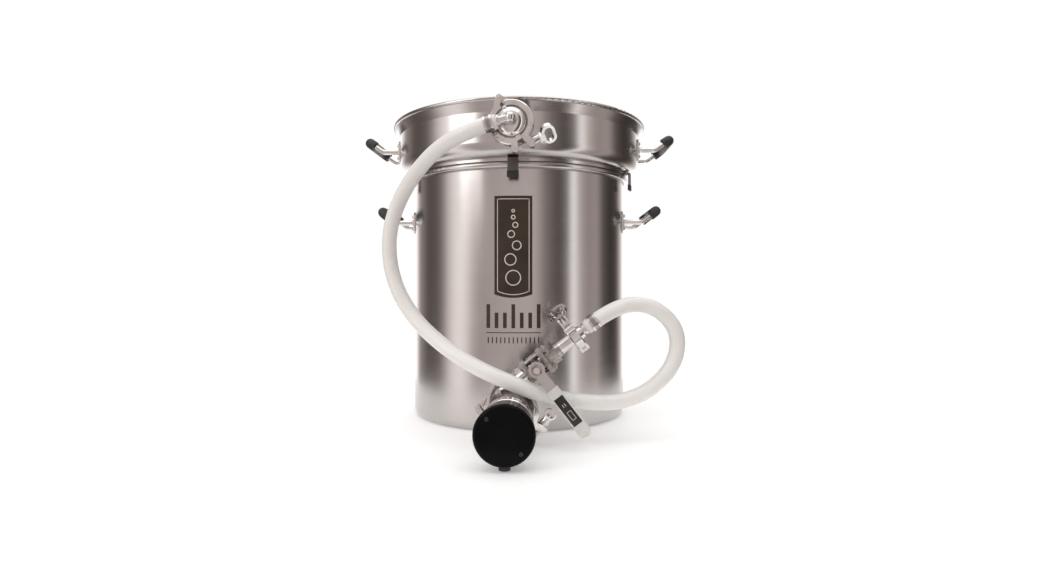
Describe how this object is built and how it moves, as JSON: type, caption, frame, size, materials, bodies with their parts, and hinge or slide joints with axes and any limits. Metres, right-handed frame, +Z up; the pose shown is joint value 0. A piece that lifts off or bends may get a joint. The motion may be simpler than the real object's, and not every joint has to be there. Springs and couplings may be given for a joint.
{
  "type": "electric brew kettle",
  "caption": "Cylindrical steel brew kettle with a lift-out brew basket, a clamped heating element, a ball valve and a hose back to the top.",
  "frame": {"origin": "centre of the kettle's base, on the surface it stands on", "axes": "+Z up along the kettle's axis; -Y is the front, with the valve, element and return port; +X is to the right of someone facing the front"},
  "size_m": [0.5084, 0.5713, 0.47],
  "materials": {
    "brushed_steel": "brushed stainless steel sheet",
    "polished_steel": "polished stainless steel",
    "cast_steel": "cast stainless steel, satin",
    "heater_alloy": "oxidised heating element sheath",
    "cap_plastic": "glossy black moulded plastic",
    "gland_plastic": "black nylon",
    "grip_rubber": "dark grey matt rubber",
    "silicone": "milky translucent silicone",
    "gasket_white": "white silicone and PTFE",
    "sleeve_vinyl": "pale dipped vinyl",
    "badge_print": "dark brown enamel plate"
  },
  "bodies": {
    "kettle": {"kettle_shell": "brushed_steel", "dip_tube": "brushed_steel", "kettle_handles": "polished_steel", "kettle_handle_plates": "polished_steel", "kettle_handle_rivets": "polished_steel", "element_ferrule": "polished_steel", "element_ring": "polished_steel", "drain_port": "polished_steel", "drain_elbow": "polished_steel", "outlet_adapter": "polished_steel", "outlet_barb": "polished_steel", "outlet_clamp_halves": "polished_steel", "kettle_clamp_pins": "polished_steel", "outlet_hose_clamp": "polished_steel", "element_clamp_halves": "polished_steel", "element_cap_screws": "polished_steel", "valve_body": "cast_steel", "valve_end_caps": "cast_steel", "valve_body_bolts": "cast_steel", "valve_packing_nut": "cast_steel", "element_base": "cast_steel", "element_terminals": "cast_steel", "heating_coil": "heater_alloy", "element_cap": "cap_plastic", "cable_gland": "gland_plastic", "kettle_handle_grips": "grip_rubber", "hose": "silicone", "element_gasket": "gasket_white", "outlet_gasket": "gasket_white", "valve_seats": "gasket_white", "kettle_badge": "badge_print"},
    "basket": {"basket_wall": "brushed_steel", "basket_collar": "brushed_steel", "basket_screen": "brushed_steel", "rim_hooks": "brushed_steel", "basket_handles": "polished_steel", "basket_handle_plates": "polished_steel", "basket_handle_rivets": "polished_steel", "basket_handle_grips": "grip_rubber", "port_ferrule": "polished_steel", "port_gasket": "gasket_white", "port_cap": "polished_steel", "port_elbow": "polished_steel", "port_hose_clamp": "polished_steel", "port_clamp_halves": "polished_steel", "port_clamp_pins": "polished_steel"},
    "valve_handle": {"valve_lever": "brushed_steel", "lever_sleeve": "sleeve_vinyl", "valve_stem": "polished_steel", "valve_ball": "polished_steel", "lever_nut": "cast_steel"},
    "port_bolt": {"port_clamp_bolt": "polished_steel"},
    "port_washer": {"port_clamp_washer": "polished_steel"},
    "port_nut": {"port_wing_nut": "polished_steel"},
    "element_bolt": {"element_clamp_bolt": "polished_steel"},
    "element_washer": {"element_clamp_washer": "polished_steel"},
    "element_nut": {"element_wing_nut": "polished_steel"},
    "outlet_bolt": {"outlet_clamp_bolt": "polished_steel"},
    "outlet_washer": {"outlet_clamp_washer": "polished_steel"},
    "outlet_nut": {"outlet_wing_nut": "polished_steel"}
  },
  "joints": [
    {"name": "basket_lift", "type": "slide", "parent": "kettle", "child": "basket", "axis": [0, 0, 1], "range_m": [0, 0.34], "deforming": ["hose"]},
    {"name": "valve_turn", "type": "hinge", "parent": "kettle", "child": "valve_handle", "pos_m": [0.035, -0.222, 0.1034], "axis": [0, 1, 0], "range_deg": [-90, 0]},
    {"name": "port_bolt_swing", "type": "hinge", "parent": "basket", "child": "port_bolt", "pos_m": [0.00543, -0.2215, 0.39276], "axis": [0, 1, 0], "range_deg": [0, 90]},
    {"name": "port_nut_travel", "type": "slide", "parent": "port_bolt", "child": "port_washer", "axis": [0.8988, 0, 0.4384], "range_m": [0, 0.00564]},
    {"name": "port_nut_spin", "type": "hinge", "parent": "port_washer", "child": "port_nut", "pos_m": [0.00543, -0.2215, 0.39276], "axis": [0.8988, 0, 0.4384], "range_deg": [0, 1440]},
    {"name": "element_bolt_swing", "type": "hinge", "parent": "kettle", "child": "element_bolt", "pos_m": [0.02727, -0.2445, 0.00859], "axis": [0, 1, 0], "range_deg": [0, 50]},
    {"name": "element_nut_travel", "type": "slide", "parent": "element_bolt", "child": "element_washer", "axis": [0.5878, 0, 0.809], "range_m": [0, 0.00564]},
    {"name": "element_nut_spin", "type": "hinge", "parent": "element_washer", "child": "element_nut", "pos_m": [0.02727, -0.2445, 0.00859], "axis": [0.5878, 0, 0.809], "range_deg": [0, 1440]},
    {"name": "outlet_bolt_swing", "type": "hinge", "parent": "kettle", "child": "outlet_bolt", "pos_m": [0.07693, -0.24268, 0.15369], "axis": [0.788, 0, 0.6157], "range_deg": [0, 90]},
    {"name": "outlet_nut_travel", "type": "slide", "parent": "outlet_bolt", "child": "outlet_washer", "axis": [-0.3078, 0.866, 0.394], "range_m": [0, 0.00564]},
    {"name": "outlet_nut_spin", "type": "hinge", "parent": "outlet_washer", "child": "outlet_nut", "pos_m": [0.07693, -0.24268, 0.15369], "axis": [-0.3078, 0.866, 0.394], "range_deg": [0, 1440]}
  ],
  "couplings": [
    {"joint": "port_nut_travel", "follows": "port_nut_spin", "m_per_rad": 0.00022457},
    {"joint": "element_nut_travel", "follows": "element_nut_spin", "m_per_rad": 0.00022457},
    {"joint": "outlet_nut_travel", "follows": "outlet_nut_spin", "m_per_rad": 0.00022457}
  ]
}
